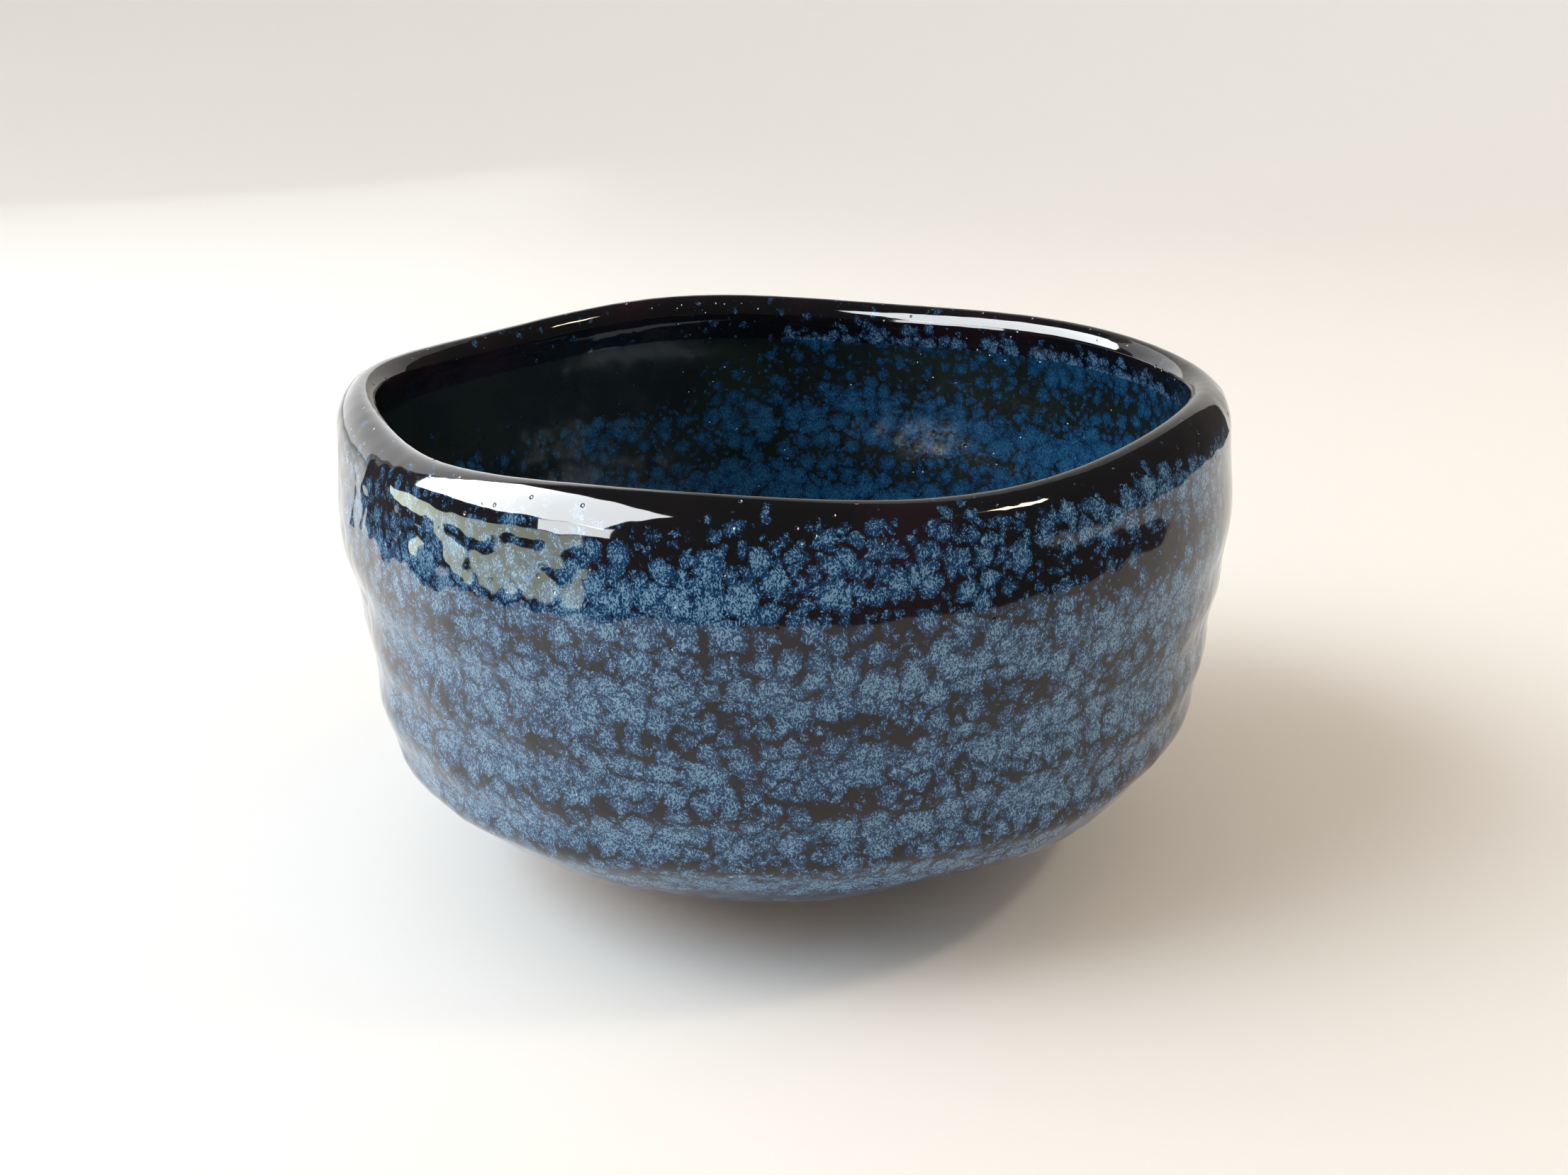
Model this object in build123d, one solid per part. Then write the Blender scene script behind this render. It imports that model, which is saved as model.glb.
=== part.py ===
from build123d import *
import math
import os

# Matcha bowl (chawan), in millimetres. +Z is up. The origin is the middle of the foot ring's resting
# face, on the table. The front of the bowl faces -Y. It is one wheel-thrown clay body with a trimmed
# foot ring, under three coats of glaze. Nothing on it moves.

# Driving dimensions
belly_radius = 61.2         # glazed outside, at the widest level
height = 65.6               # mean height of the rim's crest above the table
wall = 5.0                  # clay and both glazes together
floor_height = 11.0         # glazed floor of the tea well, above the table
glaze_thickness = 0.8       # on the walls and the floor
rim_glaze_thickness = 0.45  # the glaze runs thin over the lip
rim_band = 6.0              # how far the thin dark glaze reaches down from the crest
glaze_line = 6.0            # the outside glaze stops here, just above the foot

# Foot ring (kodai)
foot_height = 5.0           # table to the underside of the body
foot_outer_radius = 27.0
foot_inner_radius = 21.5
foot_draft = 1.0            # the ring is this much narrower at its edge than at its root
foot_edge_round = 1.2

# Waves of the hand-shaped bowl at its rim: (turns round the rim, cosine part, sine part)
radius_waves = [(1, 0.5, 1.0), (2, -0.1, 0.4), (3, 0.4, 1.2), (4, 0.4, -0.2), (5, -0.5, 0.4)]
height_waves = [(1, -0.8, 3.1), (2, -0.2, -0.2), (3, 0.3, -0.3), (4, 0.2, -0.3), (5, -0.6, -0.2)]

ring_points = 24            # points on each closed ring round the bowl
wall_rings = 12             # rings up the outside, and again down the inside
lip_rings = 7


def profile():
    """Half section of the glazed bowl as (radius, height): up the outside, over the lip, down inside."""
    crest = belly_radius - 4.4
    outside = [
        (foot_outer_radius + 6.0, foot_height),
        (38.5, 6.4),
        (44.0, 9.8),
        (54.5, 18.0),
        (57.9, 28.5),
        (59.5, 38.7),
        (belly_radius, 48.7),
        (belly_radius - 0.6, 57.8),
    ]
    lip = [
        (crest + 2.2, height - 1.3),
        (crest, height),
        (crest - 2.0, height - 1.4),
    ]
    inside = [
        (crest - 1.8, height - 5.0),
        (belly_radius - 0.4 - wall, height - 12.0),
        (59.5 - wall, 38.7),
        (57.9 - wall, 28.5),
        (46.5, 18.0),
        (31.0, 12.4),
        (14.0, floor_height),
    ]
    return outside, lip, inside


def wave(waves, angle):
    """Height or radius of the waves at one angle round the rim."""
    return sum(c * math.cos(k * angle) + s * math.sin(k * angle) for k, c, s in waves)


def ease(value):
    """0 to 1 with no kink at either end."""
    value = min(max(value, 0.0), 1.0)
    return value * value * (3 - 2 * value)


def ring(radius, z):
    """One closed curve round the bowl. The waves are nothing at the foot and full at the rim."""
    sway = ease((z / height - 0.05) / 0.8)
    lift = max(0.0, (z - 0.4 * height) / (0.6 * height)) ** 2
    points = []
    for i in range(ring_points):
        angle = 2 * math.pi * i / ring_points
        r = radius + sway * wave(radius_waves, angle)
        points.append((r * math.cos(angle), r * math.sin(angle), z + lift * wave(height_waves, angle)))
    steps = [i / ring_points for i in range(ring_points + 1)]
    return Wire([Edge.make_spline(points, parameters=steps, periodic=True)])


def section_rings(glazed):
    """Rings of the outside, the lip and the inside, for the glazed bowl or for the bare clay."""
    outside, lip, inside = profile()
    curve = Edge.make_spline([Vector(r, 0, z) for r, z in outside + lip + inside])
    lip_start = curve.param_at_point(Vector(outside[-1][0], 0, outside[-1][1]))
    lip_end = curve.param_at_point(Vector(inside[0][0], 0, inside[0][1]))
    spans = [(0.0, lip_start, wall_rings), (lip_start, lip_end, lip_rings), (lip_end, 1.0, wall_rings)]
    groups = []
    for start, end, count in spans:
        rings = []
        for i in range(count + 1):
            at = start + (end - start) * i / count
            point = curve.position_at(at)
            along = curve.tangent_at(at)
            depth = 0.0 if glazed else coat(point.Z)
            r = point.X - along.Z * depth
            z = point.Z + along.X * depth
            if at == 0.0:
                z = foot_height
            if at == 1.0:
                z = floor_height - depth
            rings.append(ring(r, z))
        groups.append(rings)
    return groups


def coat(z):
    """Glaze thickness at a height: full on the wall, thin at the lip."""
    thin = ease((z - (height - 2.5 * rim_band)) / (2.0 * rim_band))
    return glaze_thickness + thin * (rim_glaze_thickness - glaze_thickness)


def bowl(glazed):
    """The whole bowl above the foot as one solid: three smooth skins, closed by two flat discs."""
    groups = section_rings(glazed)
    faces = [face for rings in groups for face in Shell.make_loft(rings).faces()]
    faces.append(Face(groups[0][0]))
    faces.append(Face(groups[-1][-1]))
    return Solid(Shell(faces))


def band_cutter():
    """Everything above the lower edge of the rim band, which follows the waves of the crest."""
    reach = 1.5 * belly_radius
    middle = Wire([Edge.make_circle(1.0, Plane.XY.offset(height - rim_band))])
    points = []
    for i in range(ring_points):
        angle = 2 * math.pi * i / ring_points
        lift = wave(height_waves, angle) * reach / (belly_radius - wall / 2)
        points.append((reach * math.cos(angle), reach * math.sin(angle), height - rim_band + lift))
    steps = [i / ring_points for i in range(ring_points + 1)]
    edge = Wire([Edge.make_spline(points, parameters=steps, periodic=True)])
    top = Wire([Edge.make_circle(reach, Plane.XY.offset(1.5 * height))])
    return Solid.make_loft([middle, edge, top], ruled=True)


def glaze_coats(glazed, clay):
    """The glaze between the two bowls, cut into the outside coat, the inside coat and the rim band."""
    size = 3 * belly_radius
    above_line = Pos(0, 0, glaze_line + size / 2) * Box(size, size, size)
    glaze = (glazed - clay) & above_line
    cutter = band_cutter()
    inner, outer = (glaze - cutter).solids().sort_by(lambda piece: piece.bounding_box().size.X)
    return outer, inner, (glaze & cutter).solid()


def foot_ring():
    """Trimmed foot: a turned ring with rounded resting edges and a slight draft on both sides."""
    outline = Polyline(
        (foot_inner_radius - foot_draft, foot_height),
        (foot_inner_radius, 0),
        (foot_outer_radius - foot_draft, 0),
        (foot_outer_radius, foot_height),
        close=True,
    )
    section = Plane.XZ * make_face(outline)
    resting_corners = section.vertices().group_by(Axis.Z)[0]
    return revolve(fillet(resting_corners, foot_edge_round), Axis.Z)


clay_body = bowl(glazed=False)
outer_glaze, inner_glaze, rim_glaze = glaze_coats(bowl(glazed=True), clay_body)
nodes = {
    "clay_body": clay_body,
    "foot_ring": foot_ring(),
    "outer_glaze": outer_glaze,
    "inner_glaze": inner_glaze,
    "rim_glaze": rim_glaze,
}
os.makedirs("parts", exist_ok=True)
for name, shape in nodes.items():
    export_step(shape, f"parts/{name}.step")
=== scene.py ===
import math

import bpy
import numpy as np
from mathutils import Matrix, Vector


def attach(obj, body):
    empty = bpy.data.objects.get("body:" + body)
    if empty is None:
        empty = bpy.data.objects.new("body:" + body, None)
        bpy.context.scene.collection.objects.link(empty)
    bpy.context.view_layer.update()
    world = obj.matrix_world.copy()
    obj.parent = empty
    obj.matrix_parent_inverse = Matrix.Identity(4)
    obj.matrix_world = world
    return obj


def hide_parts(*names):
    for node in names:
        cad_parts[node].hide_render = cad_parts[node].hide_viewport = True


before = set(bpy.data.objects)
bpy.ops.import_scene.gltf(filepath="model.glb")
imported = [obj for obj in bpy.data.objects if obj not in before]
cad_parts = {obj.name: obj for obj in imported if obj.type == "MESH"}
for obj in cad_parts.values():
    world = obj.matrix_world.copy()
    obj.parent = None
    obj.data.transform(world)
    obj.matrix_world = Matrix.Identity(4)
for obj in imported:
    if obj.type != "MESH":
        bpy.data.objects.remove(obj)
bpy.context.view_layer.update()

MM = 0.001                  # the lengths below are in millimetres, and meshes are written in metres

# ---------------------------------------------------------------------------------------------------
# The bowl's shape, as in the CAD
# ---------------------------------------------------------------------------------------------------
BELLY = 61.2                # glazed outside radius at the widest level
HEIGHT = 65.6               # mean height of the rim's crest
WALL = 5.0
WELL = 11.0                 # glazed floor of the tea well
GLAZE = 0.8                 # glaze thickness on the walls
RIM_GLAZE = 0.45            # and over the lip
RIM_BAND = 6.0              # depth of the thin dark glaze below the crest
GLAZE_LINE = 6.0            # height where the outside glaze stops
FOOT_TOP = 5.0
FOOT_OUTER = 27.0
FOOT_INNER = 21.5
FOOT_DRAFT = 1.0
FOOT_ROUND = 1.2
CREST = BELLY - 4.4

RADIUS_WAVES = [(1, 0.5, 1.0), (2, -0.1, 0.4), (3, 0.4, 1.2), (4, 0.4, -0.2), (5, -0.5, 0.4)]
HEIGHT_WAVES = [(1, -0.8, 3.1), (2, -0.2, -0.2), (3, 0.3, -0.3), (4, 0.2, -0.3), (5, -0.6, -0.2)]

OUTSIDE = [
    (FOOT_OUTER + 6.0, FOOT_TOP),
    (38.5, 6.4),
    (44.0, 9.8),
    (54.5, 18.0),
    (57.9, 28.5),
    (59.5, 38.7),
    (BELLY, 48.7),
    (BELLY - 0.6, 57.8),
]
LIP = [
    (CREST + 2.2, HEIGHT - 1.3),
    (CREST, HEIGHT),
    (CREST - 2.0, HEIGHT - 1.4),
]
INSIDE = [
    (CREST - 1.8, HEIGHT - 5.0),
    (BELLY - 0.4 - WALL, HEIGHT - 12.0),
    (59.5 - WALL, 38.7),
    (57.9 - WALL, 28.5),
    (46.5, 18.0),
    (31.0, 12.4),
    (14.0, WELL),
]

# Surface detail, in millimetres
RIDGE_LEVEL = 23.6          # the potter's throwing ridges climb the wall in a helix
RIDGE_PITCH = 8.0           # their pitch at that level, and how it grows further up
RIDGE_GROWTH = 0.001
RIDGE_START = 1.25
RIDGE_DEPTH = 0.22
INNER_RIDGES = 0.3          # share of that depth on the inside
SLOPE_WAVE = 0.22           # slow unevenness of the wall
GLAZE_WAVE = 0.035          # small swell of the glaze, which breaks up reflections
LIP_CALM = 0.75             # share of that swell missing near the lip
LEFT_WAVE = 0.015           # another swell under the left of the rim
RIGHT_WAVE = 0.04           # small dimples along the right of the rim
TOOL_PITCH = 1.7            # trimming grooves under the bowl
TOOL_DEPTH = 0.12
TOOL_GRIT = 0.08
TURNED_LINES = 0.06         # turned lines on the foot, and their pitch
TURNED_PITCH = 1.1

# The lower edge of the outside glaze, in millimetres
EDGE_ROLL = 1.6             # over this length it rounds down to the clay
EDGE_THIN = 0.9             # by this share of its thickness
EDGE_SLIDE = 8.0            # over this length it strays up or down
EDGE_ROWS = 20              # mesh rows that this moves
TUCK = 0.5                  # its hidden side is tucked this far into the clay

# How much deeper the dark band under the crest is, in millimetres
INNER_BAND = 3.0            # all round the inside
LEFT_SHADE_BAND = 14.0            # and more at the inside's left, as painted shade where the window light does not reach
RIGHT_BAND = 2.5            # at the outside's right
HIDDEN_DROP = 60.0          # the depth given to a coat's hidden side

AROUND = 720                # mesh columns round the bowl
SKIN_STEP = 0.62            # mesh rows along the outside
INNER_STEP = 1.0
LIP_STEP = 0.4
UNDER_STEP = 6              # a coat's hidden side takes one in this many of its rows
CLAY_STEP = 2.0
FLOOR_ROWS = 14


# ---------------------------------------------------------------------------------------------------
# Curves and waves
# ---------------------------------------------------------------------------------------------------
def spline(points):
    """A smooth curve through the points, as a function of the distance along their chords."""
    points = np.array(points, float)
    knots = np.concatenate([[0.0], np.cumsum(np.linalg.norm(np.diff(points, axis=0), axis=1))])
    gap = np.diff(knots)
    count = len(points)
    matrix = np.zeros((count, count))
    right = np.zeros((count, points.shape[1]))
    matrix[0, 0] = matrix[-1, -1] = 1.0
    for i in range(1, count - 1):
        matrix[i, i - 1:i + 2] = gap[i - 1], 2 * (gap[i - 1] + gap[i]), gap[i]
        right[i] = 6 * ((points[i + 1] - points[i]) / gap[i] - (points[i] - points[i - 1]) / gap[i - 1])
    bend = np.linalg.solve(matrix, right)

    def at(s):
        s = np.clip(np.atleast_1d(s), knots[0], knots[-1])
        i = np.clip(np.searchsorted(knots, s, side="right") - 1, 0, count - 2)
        h = gap[i][:, None]
        a = (knots[i + 1] - s)[:, None] / h
        b = 1 - a
        curve = a * points[i] + b * points[i + 1]
        return curve + ((a ** 3 - a) * bend[i] + (b ** 3 - b) * bend[i + 1]) * h ** 2 / 6

    return at, knots


def ease(value):
    """0 to 1 with no kink at either end."""
    value = np.clip(value, 0.0, 1.0)
    return value * value * (3 - 2 * value)


def rise(value, start, span):
    """0 up to start, and 1 from start + span on, with no kink at either end."""
    return ease((value - start) / span)


def wave(waves, angle):
    """Height or radius of the hand-made waves at each angle round the rim."""
    return sum(c * np.cos(k * angle) + s * np.sin(k * angle) for k, c, s in waves)


def swell(points, length, seed, count=36):
    """Smooth random field about -1 to 1, with features about length across: a sum of plane waves."""
    rng = np.random.default_rng(seed)
    total = np.zeros(points.shape[:-1])
    for _ in range(count):
        direction = rng.normal(size=3)
        direction *= 2 * math.pi / (length * rng.uniform(0.7, 1.6) * np.linalg.norm(direction))
        total += np.cos(points @ direction + rng.uniform(0, 2 * math.pi))
    return total / math.sqrt(count)


# ---------------------------------------------------------------------------------------------------
# The bowl's surface
# ---------------------------------------------------------------------------------------------------
section, section_knots = spline(OUTSIDE + LIP + INSIDE)
LIP_START = section_knots[len(OUTSIDE) - 1]
CREST_AT = section_knots[len(OUTSIDE) + 1]
LIP_END = section_knots[len(OUTSIDE) + len(LIP)]
SECTION_END = section_knots[-1]
angles = np.linspace(0, 2 * math.pi, AROUND, endpoint=False)


def section_frame(s):
    """Points and outward normals of the half section at distances s along it."""
    step = 0.05
    ahead = section(s + step) - section(s - step)
    along = ahead / np.linalg.norm(ahead, axis=1)[:, None]
    return section(s), np.stack([along[:, 1], -along[:, 0]], 1)


def level_at(z, low, high):
    """Distance along the section, between low and high, where it reaches height z."""
    s = np.linspace(low, high, 2000)
    return s[np.abs(section(s)[:, 1] - z).argmin()]


def wrap(radius, z):
    """Section points (rows of radius, z) turned round the axis, with the hand-made waves put on."""
    sway = ease((z / HEIGHT - 0.05) / 0.8)
    lift = np.maximum(0.0, (z - 0.4 * HEIGHT) / (0.6 * HEIGHT)) ** 2
    r = radius + sway * wave(RADIUS_WAVES, angles)
    return np.stack([r * np.cos(angles), r * np.sin(angles), z + lift * wave(HEIGHT_WAVES, angles)], -1)


def surface(s, depth):
    """Grid of points: rows at distances s along the section, sunk by depth, columns round the bowl."""
    at, normal = section_frame(s)
    depth = np.broadcast_to(depth, s.shape)[:, None]
    sunk = at - normal * depth
    flat = wrap(sunk[:, :1] + 0 * angles, sunk[:, 1:] + 0 * angles)
    is_wall = rise(s, 8.0, 20.0) * (1 - rise(s, LIP_START - 17.0, 10.0))
    is_inner = rise(s, LIP_END, 12.0) * (1 - rise(s, SECTION_END - 30.0, 25.0))
    push = RIDGE_DEPTH * ridges(flat) * (is_wall + INNER_RIDGES * is_inner)[:, None]
    push += SLOPE_WAVE * swell(flat, 24.0, 5) * (1 - rise(flat[..., 2], 38.0, 12.0))
    return flat + flat_normals(flat) * push[..., None]


def ridges(points):
    """The throwing ridges: 1 on a crest and -1 in a hollow."""
    climb = points[..., 2] - RIDGE_LEVEL
    turns = RIDGE_START + climb / RIDGE_PITCH - RIDGE_GROWTH * climb ** 2 - angles / (2 * math.pi)
    return np.cos(2 * math.pi * turns + 0.5 * swell(points, 45.0, 3))


def flat_normals(grid):
    """Outward normals of a grid whose columns close round the bowl."""
    around = np.roll(grid, -1, axis=1) - np.roll(grid, 1, axis=1)
    along = np.gradient(grid, axis=0)
    normal = np.cross(around, along)
    return normal / np.maximum(np.linalg.norm(normal, axis=-1), 1e-9)[..., None]


def coat(s):
    """Glaze thickness along the section: full on the walls, thin over the lip."""
    z = section(s)[:, 1]
    thin = ease((z - (HEIGHT - 2.5 * RIM_BAND)) / (2.0 * RIM_BAND))
    return GLAZE + thin * (RIM_GLAZE - GLAZE)


def glossy(s):
    """The glazed surface, with the small swell of melted glass on it."""
    grid = surface(s, 0.0)
    x = grid[..., 0]
    near_lip = rise(s, LIP_START - 16.0, 10.0) * (1 - rise(s, LIP_END, 10.0))
    left = rise(-x, 5.0, 25.0) * (near_lip * (1 - rise(s, LIP_START + 3.0, 3.0)))[:, None]
    calm = 1 - LIP_CALM * near_lip[:, None] * (1 - left)
    ripple = GLAZE_WAVE * calm * (swell(grid, 5.0, 11) + 0.4 * swell(grid, 2.4, 12))
    ripple += LEFT_WAVE * left * (swell(grid, 9.0, 13) + 0.3 * swell(grid, 3.0, 14))
    below_crest = rise(s, LIP_START + 1.0, 3.0) * (1 - rise(s, CREST_AT - 3.0, 2.0))
    right = rise(x, 4.0, 10.0) * (grid[..., 1] < 0) * below_crest[:, None]
    ripple += RIGHT_WAVE * right * swell(grid, 5.0, 15)
    return grid + flat_normals(grid) * ripple[..., None]


# ---------------------------------------------------------------------------------------------------
# Meshes
# ---------------------------------------------------------------------------------------------------
def tube_faces(rows, closed):
    """Quads of a grid of rows, each a closed ring; closed also joins the last row to the first."""
    row = np.arange(rows if closed else rows - 1)[:, None]
    column = np.arange(AROUND)[None, :]
    after = (column + 1) % AROUND
    above = (row + 1) % rows
    quads = [row * AROUND + column, row * AROUND + after, above * AROUND + after, above * AROUND + column]
    return np.stack(np.broadcast_arrays(*quads), -1).reshape(-1, 4).tolist()


def make_piece(name, grid, faces, extra=(), tags=None, normals=None):
    """A mesh object from a grid of points in millimetres, riding on the bowl's only body."""
    points = grid.reshape(-1, 3)
    if len(extra):
        points = np.concatenate([points, np.array(extra, float)])
    mesh = bpy.data.meshes.new(name)
    mesh.from_pydata((points * MM).tolist(), [], faces)
    mesh.shade_smooth()
    for tag, values in (tags or {}).items():
        padded = np.zeros(len(points), np.float32)
        padded[:values.size] = values.reshape(-1)
        mesh.attributes.new(tag, "FLOAT", "POINT").data.foreach_set("value", padded)
    if normals is not None:
        given = np.concatenate([normals.reshape(-1, 3), np.zeros((len(extra), 3))])
        mesh.normals_split_custom_set_from_vertices(given.tolist())
    piece = bpy.data.objects.new(name, mesh)
    bpy.context.scene.collection.objects.link(piece)
    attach(piece, "root")
    return piece


def rows_between(low, high, step):
    """Even distances from low to high, about one step apart."""
    return np.linspace(low, high, max(2, round((high - low) / step) + 1))


outer_low = level_at(GLAZE_LINE, 0.0, LIP_START)
outer_high = level_at(HEIGHT - RIM_BAND, LIP_START - 5.0, CREST_AT)
inner_high = level_at(HEIGHT - RIM_BAND, CREST_AT, LIP_END + 5.0)
outer_s = rows_between(outer_low, outer_high, SKIN_STEP)
lip_s = rows_between(outer_high, inner_high, LIP_STEP)
inner_s = rows_between(inner_high, SECTION_END, INNER_STEP)

skin_s = np.concatenate([outer_s, lip_s[1:], inner_s[1:]])
skin = glossy(skin_s)
skin_normals = flat_normals(skin)
crest_row = np.abs(skin_s - CREST_AT).argmin()
drop_and_shade = skin[crest_row][None, :, 2] - skin[..., 2]
inward = rise(skin_s, CREST_AT, 3.0)[:, None]
# On the inside's left the dark band reaches further down as painted shade
drop_and_shade -= inward * (INNER_BAND + LEFT_SHADE_BAND * rise(-skin[..., 0], -12.0, 40.0))
drop_and_shade -= (1 - inward) * RIGHT_BAND * rise(skin[..., 0], 26.0, 24.0)
crests = ridges(skin)


def under_levels(first, last):
    """Where along the section the rows of a coat's hidden side lie, back to its first row."""
    levels = skin_s[first:last][::-1][::UNDER_STEP]
    return levels if levels[-1] == skin_s[first] else np.append(levels, skin_s[first])


def glaze_rows(first, last):
    """The visible rows of one coat, then its hidden side, which lies on the clay."""
    levels = under_levels(first, last)
    under = surface(levels, coat(levels) + TUCK * (1 - rise(levels, outer_low, 10.0)))
    grid = np.concatenate([skin[first:last], under])
    normals = np.concatenate([skin_normals[first:last], flat_normals(under)])
    return grid, normals


def skin_tags(first, last, rows):
    """What the glaze's colour follows: the depth below the crest, cut on the inside's left to spread the
    dark band there as painted shade, and the throwing ridges.
    """
    hidden = np.zeros((rows - (last - first), AROUND))
    return {"drop_and_shade": np.concatenate([drop_and_shade[first:last], hidden + HIDDEN_DROP]),
            "crest": np.concatenate([crests[first:last], hidden])}


def outer_glaze():
    """The outside coat. Its lower edge is rounded, and strays up and down the wall."""
    count = len(outer_s)
    grid, normals = glaze_rows(0, count)
    fall = np.clip((outer_s - outer_low) / EDGE_ROLL, 0, 1)
    sink = GLAZE * (1 - np.sqrt(1 - (1 - fall) ** 2))
    grid[:count] -= skin_normals[:count] * (sink * EDGE_THIN)[:, None, None]
    line = 1.2 * swell(skin[0], 30.0, 21) + 0.5 * swell(skin[0], 9.0, 22)
    slide = (1 - rise(outer_s, outer_low, EDGE_SLIDE))[:, None] * line
    along = np.gradient(skin[:count], axis=0)
    along /= np.linalg.norm(along, axis=-1)[..., None]
    grid[:count] += along * slide[..., None]
    grid[-1] = grid[0] - skin_normals[0] * TUCK
    normals[:EDGE_ROWS] = flat_normals(grid[:count])[:EDGE_ROWS]
    tags = skin_tags(0, count, len(grid))
    return make_piece("outer_glaze_coat", grid, tube_faces(len(grid), True), tags=tags, normals=normals)


def rim_glaze():
    """The thin dark band over the lip."""
    first = len(outer_s) - 1
    last = first + len(lip_s)
    grid, normals = glaze_rows(first, last)
    tags = skin_tags(first, last, len(grid))
    return make_piece("rim_glaze_band", grid, tube_faces(len(grid), True), tags=tags, normals=normals)


def fan(ring_start, centre, flip):
    """Triangles that close a ring of the grid onto its centre point; flip turns them over."""
    ring = ring_start + np.arange(AROUND)
    after = ring_start + (np.arange(AROUND) + 1) % AROUND
    faces = np.stack([after, ring, np.full(AROUND, centre)] if flip else
                     [ring, after, np.full(AROUND, centre)], -1)
    return faces.tolist()


def inner_glaze():
    """The inside coat, with the tea well's floor."""
    first = len(outer_s) + len(lip_s) - 2
    shown = skin[first:]
    count = len(shown)
    well = np.linspace(1.0, 0.08, FLOOR_ROWS)[1:, None, None] * np.array([1.0, 1.0, 0.0])
    up = np.array([0, 0, 1.0])
    floor = shown[-1][None] * well + up * shown[-1].mean(0)[2]
    levels = under_levels(first, len(skin_s))
    under = surface(levels, coat(levels))
    under_floor = floor[::-1][::3] - up * GLAZE
    grid = np.concatenate([shown, floor, under_floor, under])
    top = count + len(floor)
    total = len(grid) * AROUND
    below = np.array(tube_faces(len(under_floor) + len(under), False)) + top * AROUND
    last = total - AROUND
    join = [[last + i, last + (i + 1) % AROUND, (i + 1) % AROUND, i] for i in range(AROUND)]
    faces = tube_faces(top, False) + below.tolist() + join
    faces += fan((top - 1) * AROUND, total, False)
    faces += fan(top * AROUND, total + 1, True)
    middle = floor[-1].mean(0)[2]
    extra = [(0, 0, middle), (0, 0, middle - GLAZE)]
    tags = skin_tags(first, len(skin), len(grid))
    normals = np.concatenate([skin_normals[first:], np.zeros((len(grid) - count, AROUND, 3))])
    return make_piece("inner_glaze_coat", grid, faces, extra, tags, normals)


def clay_body():
    """The clay under the glaze, with trimming grooves underneath where it is bare."""
    s = rows_between(0.0, SECTION_END, CLAY_STEP)
    wall = surface(s, coat(s))
    reach = np.append(np.arange(0.8, OUTSIDE[0][0], 0.4), OUTSIDE[0][0])
    under = np.stack([reach[:, None] * np.cos(angles), reach[:, None] * np.sin(angles),
                      FOOT_TOP + 0 * reach[:, None] * angles], -1)
    spiral = 2 * math.pi * (reach[:, None] / TOOL_PITCH) - angles
    bare = (rise(reach, FOOT_OUTER + 0.3, 1.0) + 1 - rise(reach, FOOT_INNER - 2.5, 1.0))[:, None]
    groove = (TOOL_DEPTH * (np.cos(spiral) - 1) + TOOL_GRIT * swell(under, 3.0, 31)) * bare
    under[..., 2] -= groove - 0.05
    under[-1] = wall[0]
    grid = np.concatenate([under[:-1], wall])
    total = len(grid) * AROUND
    faces = tube_faces(len(grid), False)
    faces += fan(0, total, True)
    faces += fan(total - AROUND, total + 1, False)
    extra = [(0, 0, under[0].mean(0)[2]), (0, 0, wall[-1].mean(0)[2])]
    return make_piece("clay_bowl", grid, faces, extra)


def foot_ring():
    """The trimmed ring that the bowl stands on, with its edges rounded and its turning lines."""
    r = FOOT_ROUND
    outer, inner = FOOT_OUTER - FOOT_DRAFT, FOOT_INNER
    outline = [(FOOT_OUTER, FOOT_TOP), (FOOT_OUTER - 0.15 * FOOT_DRAFT, FOOT_TOP - 1.0)]
    down = np.linspace(0.0, 1.0, 9)
    outline += [(FOOT_OUTER - FOOT_DRAFT * (0.2 + 0.6 * t), FOOT_TOP - 1.2 - 3.4 * t) for t in down]
    turn = np.linspace(0.1, math.pi / 2, 8)
    outline += [(outer - r + r * math.cos(a), r - r * math.sin(a)) for a in turn]
    outline += [(outer - r - (outer - inner - 2 * r) * i / 4, 0.0) for i in range(1, 4)]
    turn = np.linspace(0.0, math.pi / 2, 8)
    outline += [(inner + r - r * math.sin(a), r - r * math.cos(a)) for a in turn]
    outline += [(inner - FOOT_DRAFT * i / 10, r + (FOOT_TOP - r) * i / 10) for i in range(1, 11)]
    outline = np.array(outline)[::-1]
    radius, z = outline[:, :1], outline[:, 1:]
    grid = np.stack([radius * np.cos(angles), radius * np.sin(angles), z + 0 * angles], -1)
    lines = np.cos(2 * math.pi * z / TURNED_PITCH - angles) + swell(grid, 4.0, 41)
    edge = np.minimum(1.0, z / 2.0) * (z < FOOT_TOP - 0.2)
    grid += flat_normals(grid) * (TURNED_LINES * lines * edge)[..., None]
    return make_piece("foot", grid, tube_faces(len(grid), True))


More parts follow.
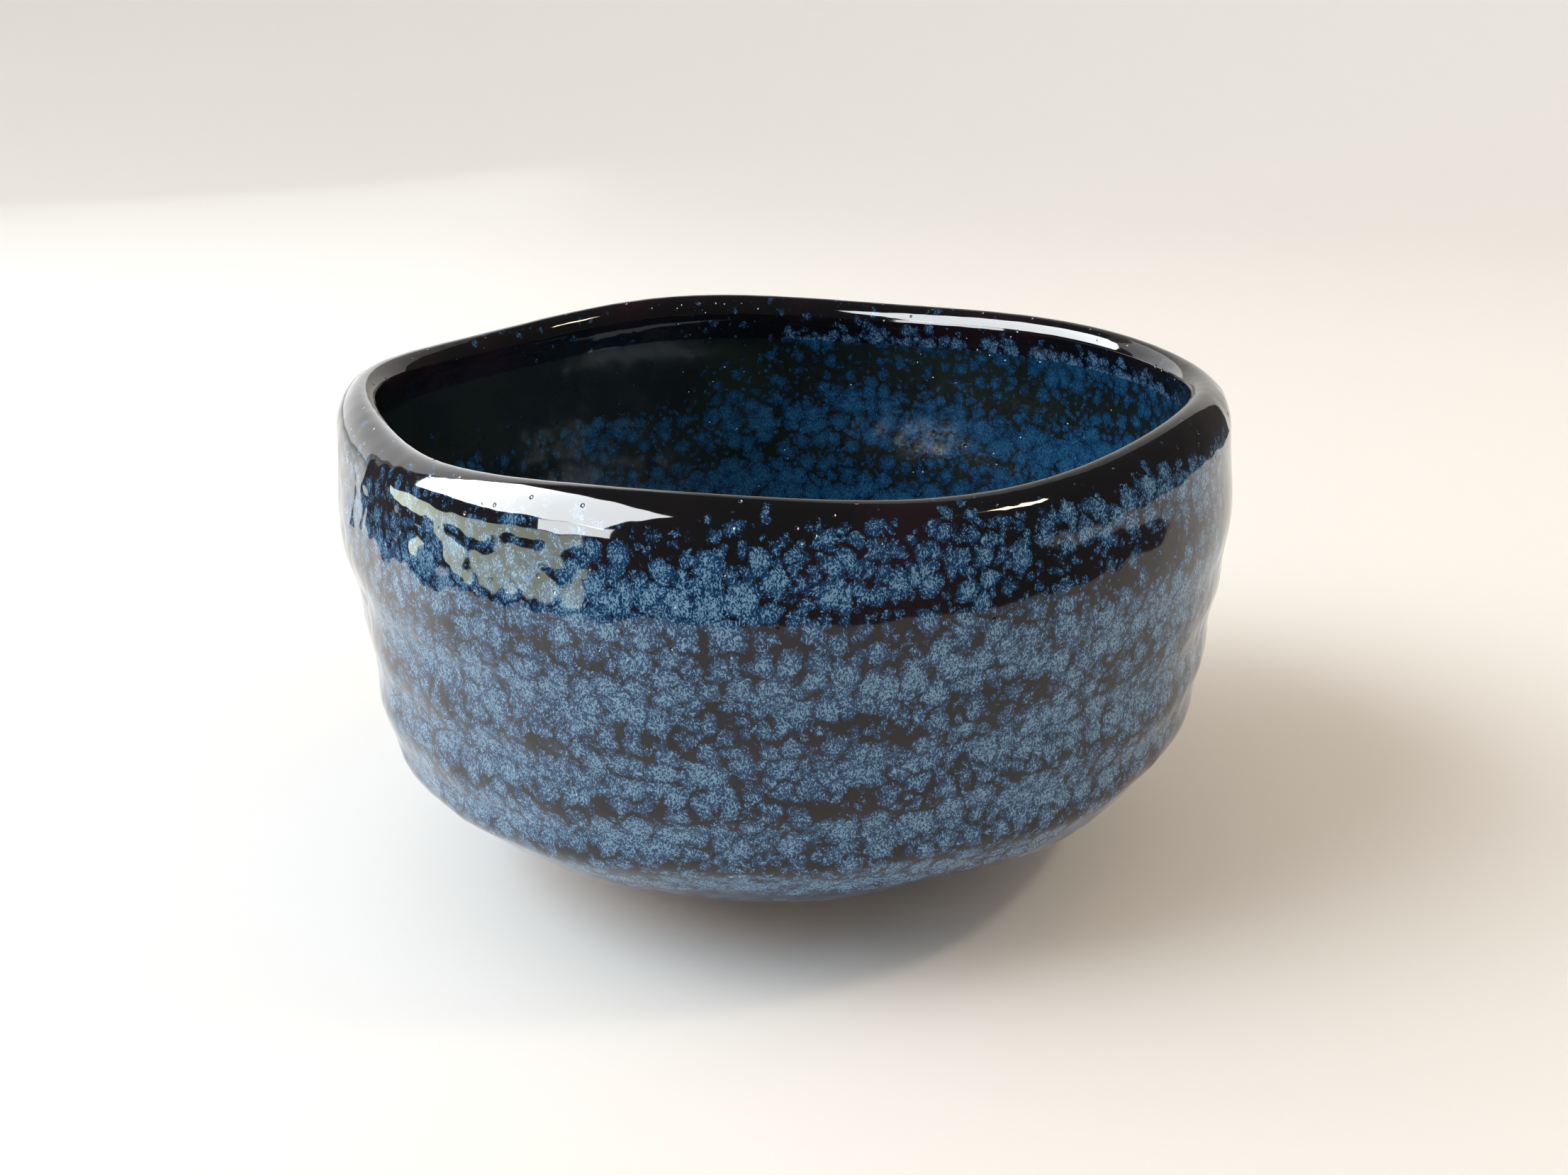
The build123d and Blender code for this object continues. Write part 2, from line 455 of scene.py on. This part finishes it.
# ---------------------------------------------------------------------------------------------------
# Materials
# ---------------------------------------------------------------------------------------------------
class Paint:
    """One material made of nodes, with short names for the nodes that it uses."""

    def __init__(self, name):
        self.material = bpy.data.materials.new(name)
        self.material.use_nodes = True
        self.tree = self.material.node_tree
        self.shader = self.tree.nodes["Principled BSDF"]
        place = self.tree.nodes.new("ShaderNodeTexCoord").outputs["Object"]
        self.place = self.vector("SCALE", place, scale=1 / MM)

    def put(self, socket, value):
        if isinstance(value, bpy.types.NodeSocket):
            self.tree.links.new(value, socket)
        else:
            socket.default_value = value

    def node(self, kind, **values):
        node = self.tree.nodes.new(kind)
        for key, value in values.items():
            self.put(node.inputs[key], value)
        return node

    def vector(self, operation, a, b=None, scale=None):
        node = self.tree.nodes.new("ShaderNodeVectorMath")
        node.operation = operation
        self.put(node.inputs[0], a)
        if b is not None:
            self.put(node.inputs[1], b)
        if scale is not None:
            self.put(node.inputs["Scale"], scale)
        return node.outputs["Vector"]

    def math(self, operation, a, b=0.0, c=0.0):
        node = self.tree.nodes.new("ShaderNodeMath")
        node.operation = operation
        for socket, value in zip(node.inputs, (a, b, c)):
            self.put(socket, value)
        return node.outputs[0]

    def noise(self, place, scale, detail=2.0, roughness=0.5, colour=False):
        values = {"Scale": scale, "Detail": detail, "Roughness": roughness}
        node = self.node("ShaderNodeTexNoise", Vector=place, **values)
        return node.outputs["Color" if colour else "Fac"]

    def cells(self, place, scale):
        """Distance to the nearest of a scatter of points, about 1 / scale millimetres apart."""
        node = self.node("ShaderNodeTexVoronoi", Vector=place, Scale=scale, Randomness=0.9)
        return node.outputs["Distance"]

    def gaps(self, place, scale):
        """Distance to the border between the cells of the same scatter of points."""
        node = self.node("ShaderNodeTexVoronoi", Vector=place, Scale=scale, Randomness=0.9)
        node.feature = "DISTANCE_TO_EDGE"
        return node.outputs["Distance"]

    def warp(self, place, scale, amount, detail=1.0):
        """The place, pushed about by noise by up to about amount."""
        push = self.noise(place, scale, detail, colour=True)
        centred = self.vector("SUBTRACT", push, (0.5, 0.5, 0.5))
        return self.vector("ADD", place, self.vector("SCALE", centred, scale=2.0 * amount))

    def step(self, value, low, high, start=0.0, end=1.0):
        """Soft step from start to end as value goes from low to high."""
        node = self.tree.nodes.new("ShaderNodeMapRange")
        node.interpolation_type = "SMOOTHSTEP"
        for key, number in zip(("Value", "From Min", "From Max", "To Min", "To Max"),
                               (value, low, high, start, end)):
            self.put(node.inputs[key], number)
        return node.outputs["Result"]

    def mix(self, share, a, b):
        node = self.tree.nodes.new("ShaderNodeMix")
        node.data_type = "RGBA"
        self.put(node.inputs["Factor"], share)
        self.put(node.inputs[6], a)
        self.put(node.inputs[7], b)
        return node.outputs[2]

    def tag(self, name):
        node = self.tree.nodes.new("ShaderNodeAttribute")
        node.attribute_name = name
        return node.outputs["Fac"]

    def bump(self, height, distance):
        return self.node("ShaderNodeBump", Height=height, Distance=distance).outputs["Normal"]


TUFTS = 0.35                # big and small tufts of crystal, and burst bubbles, per millimetre
SMALL_TUFTS = 0.75
PITS = 0.42
PIT_DEPTH = 0.00012         # in metres
GLAZE_IOR = 1.43


def glaze(name, ground, stain, blue, pale, cover, gap, rough):
    """Blue crystal glaze over brown-black: tufts of fine pale strokes, with deep blue between them.

    cover is how far the tufts spread, gap how deep the dark lines between them are, and rough the roughness
    of the smoothest parts.
    """
    p = Paint(name)

    # Fine upright strokes of crystal, about 0.15 mm wide, in two crossing layers
    upright = p.vector("MULTIPLY", p.warp(p.place, 0.9, 0.5), (1.0, 1.0, 0.45))
    elsewhere = p.vector("ADD", p.place, (31.0, 7.0, 3.0))
    slanted = p.vector("MULTIPLY", p.warp(elsewhere, 0.7, 0.9), (1.0, 1.0, 0.6))
    strokes = p.math("MAXIMUM", p.noise(upright, 6.0, 1.0), p.noise(slanted, 5.0, 1.0))

    # Where the glaze runs thin under the rim, only fingers of blue reach up. On the inside's left this dark
    # band reaches further down as painted shade
    fingers = p.noise(p.vector("MULTIPLY", p.place, (1.0, 1.0, 0.25)), 0.3, 2.0)
    depth = p.math("SUBTRACT", p.tag("drop_and_shade"), p.math("MULTIPLY", fingers, 8.0))
    thick_and_unshaded = p.step(depth, -4.6, -1.2)

    # Tufts of strokes, about 3 mm apart with small ones between, closest in the ridges' hollows
    patch = p.noise(p.place, 0.07, 2.0)
    fill = p.math("MULTIPLY_ADD", p.tag("crest"), -0.13, cover - 0.25)
    fill = p.math("MULTIPLY_ADD", patch, 0.5, fill)
    fill = p.math("ADD", fill, p.step(thick_and_unshaded, 0.0, 1.0, -0.45, 0.0))
    fill = p.math("ADD", fill, p.step(p.tag("drop_and_shade"), 7.0, 16.0, -0.14, 0.0))
    bent = p.warp(p.warp(p.place, 0.35, 0.8), 1.2, 0.45, 2.0)
    big = p.math("SUBTRACT", fill, p.cells(bent, TUFTS))
    big = p.math("ADD", big, p.step(p.gaps(bent, TUFTS), 0.0, 0.16, -gap, 0.04))
    small = p.math("SUBTRACT", p.math("SUBTRACT", fill, 0.1), p.cells(bent, SMALL_TUFTS))
    clump = p.math("MAXIMUM", big, p.math("MULTIPLY", small, 0.8))
    grain = p.noise(p.place, 1.8, 2.0, 0.6)
    clump = p.math("MULTIPLY_ADD", grain, 0.35, p.math("SUBTRACT", clump, 0.175))
    body = p.step(clump, -0.22, 0.42)
    level = p.math("MULTIPLY_ADD", p.math("SUBTRACT", strokes, 0.57), 6.5, body)
    level = p.math("MULTIPLY", level, p.step(body, 0.0, 0.12))

    # Brown-black ground with stains, then deep blue round the strokes, then their pale tips
    dark = p.mix(p.noise(p.place, 0.12, 2.0), ground, NIGHT)
    dark = p.mix(p.step(p.noise(p.place, 0.055, 1.0), 0.5, 0.75), dark, stain)
    colour = p.mix(p.step(body, 0.0, 0.55, 0.0, 0.8), dark, blue)
    colour = p.mix(p.step(level, 0.0, 0.55), colour, blue)
    colour = p.mix(p.step(level, 0.42, 1.35), colour, pale)
    p.put(p.shader.inputs["Base Color"], colour)

    # Small burst bubbles, in patches and all along the rim
    pits = p.step(p.cells(p.place, PITS), 0.05, 0.12)
    few = p.step(p.noise(p.place, 0.2, 1.0), 0.52, 0.6)
    few = p.math("MAXIMUM", few, p.step(p.tag("drop_and_shade"), 3.0, 7.0, 1.0, 0.0))
    dents = p.math("SUBTRACT", 1.0, p.math("MULTIPLY", p.math("SUBTRACT", 1.0, pits), few))
    p.put(p.shader.inputs["Normal"], p.bump(dents, PIT_DEPTH))
    p.put(p.shader.inputs["Roughness"], p.step(grain, 0.2, 0.8, rough, 2 * rough))
    p.shader.inputs["IOR"].default_value = GLAZE_IOR
    return p.material


GRIT_DEPTH = 0.00015        # in metres


def bare_clay():
    """Dark brown iron-rich stoneware, matt, with fine grit."""
    p = Paint("bare_clay")
    cloud = p.noise(p.place, 0.12, 3.0, 0.6)
    grit = p.noise(p.place, 2.2, 3.0, 0.7)
    colour = p.mix(cloud, CLAY_DARK, CLAY_LIGHT)
    colour = p.mix(p.step(grit, 0.58, 0.7), colour, CLAY_GRIT)
    p.put(p.shader.inputs["Base Color"], colour)
    p.put(p.shader.inputs["Roughness"], p.step(grit, 0.3, 0.7, 0.62, 0.85))
    p.put(p.shader.inputs["Normal"], p.bump(grit, GRIT_DEPTH))
    return p.material


def plain(name, colour, roughness):
    """One even colour, for the table and the backdrop."""
    material = bpy.data.materials.new(name)
    material.use_nodes = True
    shader = material.node_tree.nodes["Principled BSDF"]
    shader.inputs["Base Color"].default_value = colour
    shader.inputs["Roughness"].default_value = roughness
    return material


# ---------------------------------------------------------------------------------------------------
# The pieces
# ---------------------------------------------------------------------------------------------------
BROWN = (0.006, 0.005, 0.0055, 1)
PURPLE = (0.012, 0.006, 0.009, 1)
GREEN = (0.012, 0.019, 0.015, 1)
BLUE = (0.006, 0.040, 0.115, 1)
PALE = (0.145, 0.27, 0.385, 1)
INSIDE_BLUE = (0.003, 0.04, 0.115, 1)
INSIDE_PALE = (0.022, 0.11, 0.215, 1)
NIGHT = (0.004, 0.005, 0.007, 1)
CLAY_DARK = (0.11, 0.062, 0.036, 1)
CLAY_LIGHT = (0.19, 0.115, 0.07, 1)
CLAY_GRIT = (0.045, 0.028, 0.02, 1)

outside = {"ground": BROWN, "stain": PURPLE, "blue": BLUE, "pale": PALE,
           "cover": 0.56, "gap": 0.18, "rough": 0.03}
inside = {"ground": GREEN, "stain": GREEN, "blue": INSIDE_BLUE, "pale": INSIDE_PALE,
          "cover": 0.48, "gap": 0.03, "rough": 0.1}
outside_glaze = glaze("outside_glaze", **outside)
inside_glaze = glaze("inside_glaze", **inside)
rim_paint = glaze("rim_thin_glaze", **outside)
clay_paint = bare_clay()

for piece, paint, node, slot in [
    (outer_glaze(), outside_glaze, "outer_glaze", "blue_glaze"),
    (rim_glaze(), rim_paint, "rim_glaze", "rim_glaze"),
    (inner_glaze(), inside_glaze, "inner_glaze", "inner_blue_glaze"),
    (clay_body(), clay_paint, "clay_body", "clay"),
    (foot_ring(), clay_paint, "foot_ring", "clay"),
]:
    piece.data.materials.append(paint)
    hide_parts(node)


# ---------------------------------------------------------------------------------------------------
# The table, the light and the camera
# ---------------------------------------------------------------------------------------------------
def disc(name, centre, radius, paint):
    """The near part of the table. Its edge makes the level line that the glaze mirrors under the rim."""
    mesh = bpy.data.meshes.new(name)
    turns = np.linspace(0, 2 * math.pi, 128, endpoint=False)
    rim = [(centre[0] + radius * math.cos(a), centre[1] + radius * math.sin(a), 0.0) for a in turns]
    mesh.from_pydata(rim, [], [list(range(len(rim)))])
    mesh.materials.append(paint)
    thing = bpy.data.objects.new(name, mesh)
    bpy.context.scene.collection.objects.link(thing)


def sweep(name, start, end, paint):
    """A pale floor that curves up into a backdrop far from the bowl, from one angle round to another."""
    mesh = bpy.data.meshes.new(name)
    count = 64
    flat, curve, top = 1.0, 3.0, 4.5
    rows = [(0.001, 0.0), (0.5, 0.0), (0.9, 0.0)]
    bend = np.linspace(0.0, math.pi / 2, 24)
    rows += [(flat + curve * math.sin(a), curve - curve * math.cos(a)) for a in bend]
    rows += [(flat + curve, top)]
    turns = np.linspace(start, end, count)
    points = [(r * math.cos(a), r * math.sin(a), z) for r, z in rows for a in turns]
    faces = [(i * count + j, i * count + j + 1, (i + 1) * count + j + 1, (i + 1) * count + j)
             for i in range(len(rows) - 1) for j in range(count - 1)]
    mesh.from_pydata(points, [], faces)
    mesh.shade_smooth()
    mesh.materials.append(paint)
    thing = bpy.data.objects.new(name, mesh)
    thing.location.z = -0.0002      # just under the table's disc
    bpy.context.scene.collection.objects.link(thing)
    return thing


def area_light(name, place, size, power, colour, lights="all"):
    """A rectangle of light facing the bowl. It lights "surfaces", shows in their "gloss", or does "all"."""
    lamp = bpy.data.lights.new(name, "AREA")
    lamp.shape = "RECTANGLE"
    lamp.size, lamp.size_y = size
    lamp.energy = power
    lamp.color = colour
    thing = bpy.data.objects.new(name, lamp)
    bpy.context.scene.collection.objects.link(thing)
    thing.location = place
    thing.rotation_euler = (Vector(BOWL_MIDDLE) - Vector(place)).to_track_quat("-Z", "Y").to_euler()
    thing.visible_diffuse = lights != "gloss"
    thing.visible_glossy = lights != "surfaces"
    return thing


def sun_light(name, towards, angle, strength, colour):
    """Even light from one direction, softened by its angle, which does not show in reflections."""
    lamp = bpy.data.lights.new(name, "SUN")
    lamp.energy = strength
    lamp.angle = angle
    lamp.color = colour
    thing = bpy.data.objects.new(name, lamp)
    thing.rotation_euler = Vector(towards).to_track_quat("Z", "Y").to_euler()
    thing.visible_glossy = False
    bpy.context.scene.collection.objects.link(thing)


def polar(azimuth, elevation, distance):
    """A place seen from the bowl; azimuth 0 is in front of it and 90 to its right, in degrees."""
    a, e = math.radians(azimuth), math.radians(elevation)
    out, up = distance * math.cos(e), distance * math.sin(e)
    return out * math.sin(a), -out * math.cos(a), BOWL_MIDDLE[2] + up


BOWL_MIDDLE = (0, 0, 0.05)
DAYLIGHT = (0.95, 0.98, 1.0)

paper = plain("pale_table", (0.86, 0.85, 0.83, 1), 0.7)
disc("table", (0.05, 0.0), 0.32, paper)
behind = sweep("backdrop", 0.3 * math.pi, 0.8 * math.pi, paper)
before = sweep("backdrop_front", 0.8 * math.pi, 2.3 * math.pi, paper)
before.visible_glossy = False
for backdrop in (behind, before):
    backdrop.visible_shadow = False

# Even light on the surfaces
sun_light("soft_window_light", polar(-70, 40, 1.0), 0.6, 1.26, (0.92, 0.97, 1.0))
sun_light("soft_sky", (-0.25, -0.2, 0.95), 1.2, 0.55, (1.0, 0.9, 0.78))
area_light("window_fill", polar(-84, 38, 2.6), (2.0, 1.5), 27.0, DAYLIGHT, "surfaces")
area_light("warm_room_light", polar(85, 50, 2.0), (1.5, 1.5), 5.0, (1.0, 0.5, 0.18), "surfaces")

# What the gloss mirrors: the window with its lower pane and its sill, a side window, and a warm lamp
area_light("window", polar(-78, 38, 1.05), (1.65, 0.9), 112.0, DAYLIGHT, "gloss")
area_light("window_sill", polar(-84, -5, 1.05), (1.5, 0.17), 4.6, (0.84, 0.92, 0.74), "gloss")
pane = area_light("low_window", polar(-50, 7, 1.05), (0.5, 0.24), 8.0, DAYLIGHT, "gloss")
side = area_light("window_side", polar(-150, 22, 1.3), (1.1, 1.0), 4.5, (0.95, 0.97, 1.0), "gloss")
for unseen in (pane, side):
    unseen.visible_camera = False
area_light("warm_lamp", polar(78, 47, 1.0), (0.12, 0.08), 1.6, (1.0, 0.82, 0.58))

world = bpy.data.worlds.new("room")
bpy.context.scene.world = world
world.use_nodes = True
room_air = world.node_tree.nodes["Background"]
room_air.inputs["Color"].default_value = (0.9, 0.86, 0.8, 1)
room_air.inputs["Strength"].default_value = 0.12

CAMERA_BACK = 0.2094        # metres in front of the foot's middle, and above the table
CAMERA_UP = 0.1017
CAMERA_PITCH = 0.308        # radians below level
CAMERA_ROLL = -0.023
CAMERA_LENS = 35.4          # on a sensor 36 mm wide

lens = bpy.data.cameras.new("camera")
lens.sensor_width = 36.0
lens.lens = CAMERA_LENS
lens.clip_start = 0.01
camera = bpy.data.objects.new("camera", lens)
bpy.context.scene.collection.objects.link(camera)
turn = Matrix.Rotation(math.pi / 2 - CAMERA_PITCH, 4, "X") @ Matrix.Rotation(CAMERA_ROLL, 4, "Z")
camera.matrix_world = Matrix.Translation((0, -CAMERA_BACK, CAMERA_UP)) @ turn
bpy.context.scene.camera = camera
bpy.context.scene.view_settings.view_transform = "Standard"
